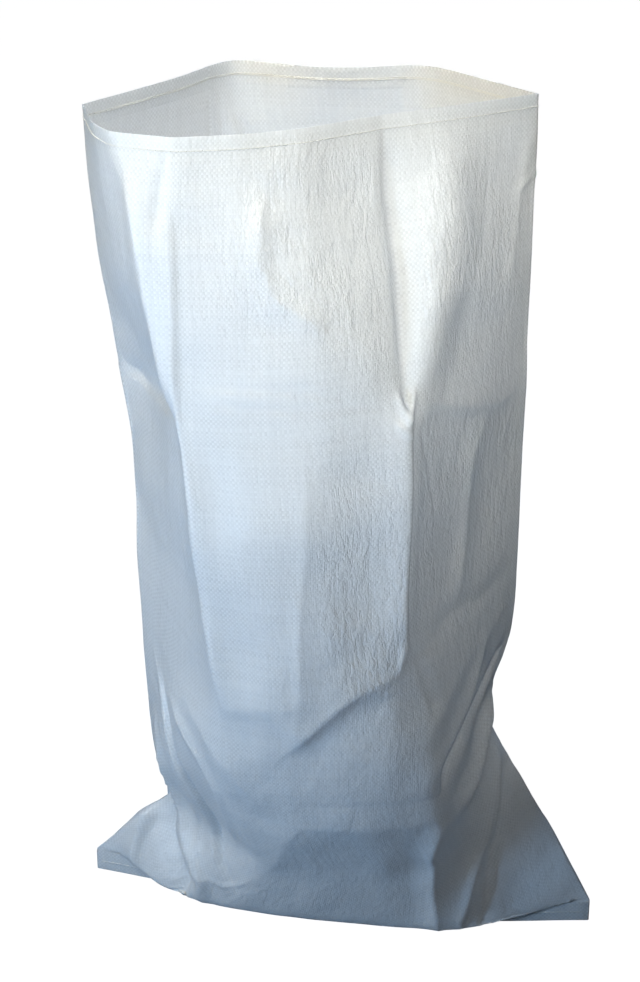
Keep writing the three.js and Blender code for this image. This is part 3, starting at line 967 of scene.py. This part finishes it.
def area_light(name, place, aim, size, watts, spread=180):
    """A square lamp; watts are given for red, green and blue."""
    data = bpy.data.lights.new(name, "AREA")
    data.size = size
    data.energy = max(watts)
    data.color = [watt / max(watts) for watt in watts]
    data.spread = math.radians(spread)
    lamp = new_object(name, data)
    lamp.location = place
    lamp.rotation_euler = (Vector(aim) - Vector(place)).to_track_quat("-Z", "Y").to_euler()
    lamp.visible_camera = False


def add_lights():
    """Warm light from the left, blue light from high behind and low at the left, and some at the mouth."""
    middle, belly, upper, rim = (0, 0, 0.5), (0, -0.1, 0.45), (0, -0.1, 0.75), (0, -0.1, 0.9)
    area_light("left_window", (-1.77, -0.71, 1.6), middle, 0.9, (10.1, 6.1, 1.0))
    area_light("high_back", (0, 0.82, 2.54), middle, 0.9, (7.1, 13.3, 23.3))
    area_light("low_left", (-1.1, -0.9, 0.5), belly, 0.4, (5.1, 8.7, 13.4))
    area_light("near_left", (-0.9, -0.7, 1.5), upper, 0.4, (4.2, 4.0, 2.7))
    area_light("left_spot", (-1.0, -1.6, 2.1), rim, 0.5, (0.2, 0.2, 0.2), 30)
    area_light("front_spot", (0.2, -1.6, 2.1), rim, 0.5, (1.6, 1.6, 1.5), 30)


def add_camera():
    """A camera 2 m in front of the sack and 1.45 m up, looking down at it."""
    data = bpy.data.cameras.new("camera")
    data.sensor_width = 36.0
    data.lens = CAMERA_LENS
    data.clip_end = 20.0
    camera = new_object("camera", data)
    camera.location = CAMERA_PLACE
    camera.rotation_euler = (math.radians(90 - CAMERA_TILT), 0, 0)
    bpy.context.scene.camera = camera


def add_room():
    """A pale floor that runs into a pale background and throws no light back at the sack."""
    pale = (1.0, 1.0, 1.0, 1)
    n = Nodes("floor")
    soft = n.add("BsdfDiffuse", {"Color": (0.16, 0.16, 0.16, 1)})
    glow = n.add("Emission", {"Color": pale, "Strength": 1.0})
    reach, depth = 8.0, -0.0005
    corners = [(x * reach, y * reach, depth) for x, y in ((-1, -1), (1, -1), (1, 1), (-1, 1))]
    mesh = bpy.data.meshes.new("floor")
    mesh.from_pydata(corners, [], [(0, 1, 2, 3)])
    mesh.materials.append(n.finished(n.add("AddShader", {0: soft, 1: glow})))
    floor = new_object("floor", mesh)
    floor.visible_diffuse = False
    floor.visible_glossy = False
    world = bpy.data.worlds.new("room")
    world.use_nodes = True
    background = world.node_tree.nodes["Background"]
    background.inputs["Color"].default_value = pale
    background.inputs["Strength"].default_value = 1.0
    world.cycles_visibility.diffuse = False
    world.cycles_visibility.glossy = False
    bpy.context.scene.world = world
    bpy.context.scene.view_settings.view_transform = "Standard"


def add_piece(name, mesh, material, node):
    mesh.materials.append(material)
    piece = new_object(name, mesh)
    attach(piece, "root")
    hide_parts(node)
    return piece


def add_stitches(t, points):
    """The two threads of the bottom's chain stitch and the two of the hem's."""
    places = np.linspace(*SEWN, SEWN_POINTS)
    front = np.c_[seam_front(places), np.zeros(len(places))]
    seam = np.c_[seam_at(places), np.full(len(places), BAND_STITCH)] + SHIFT
    row = row_at(t, points, RIM - HEM_STITCH)
    normal = row_at(t, grid_normals(points), RIM - HEM_STITCH)
    threads = {
        "bottom_needle": needle_stitches(Line(seam + BACK_LAYER * front, front, is_loop=False)),
        "bottom_looper": looper_stitches(Line(seam - BACK_LAYER * front, -front, is_loop=False)),
        "hem_needle": needle_stitches(Line(row, normal, is_loop=True)),
        "hem_looper": looper_stitches(Line(row - HEM_GAP * normal, -normal, is_loop=True)),
    }
    material = thread_material()
    for name, stitches in threads.items():
        add_piece(name + "_stitches", thread_mesh(name, stitches), material, name + "_thread")


add_camera()
add_lights()
add_room()

grid = Grid()
sack = settled_cloth(grid)
fold_rows, fold_t = bottom_fold(grid.columns)
hem_rows, hem_t = turned_hem(grid.rows, sack)
all_points = np.concatenate([fold_rows, sack, hem_rows])
all_s = np.concatenate([[grid.s[0]] * len(fold_t), grid.s, [grid.s[-1]] * len(hem_t)])
level = np.ones(len(grid.columns))
all_t = np.concatenate([np.outer(fold_t, level), grid.t, np.outer(hem_t, level)])
sack_mesh = tube_mesh("sack_cloth", all_points, all_s, all_t)
sack_cloth = add_piece("sack_cloth", sack_mesh, woven_material(), "sack_body")
add_stitches(grid.rows, sack)
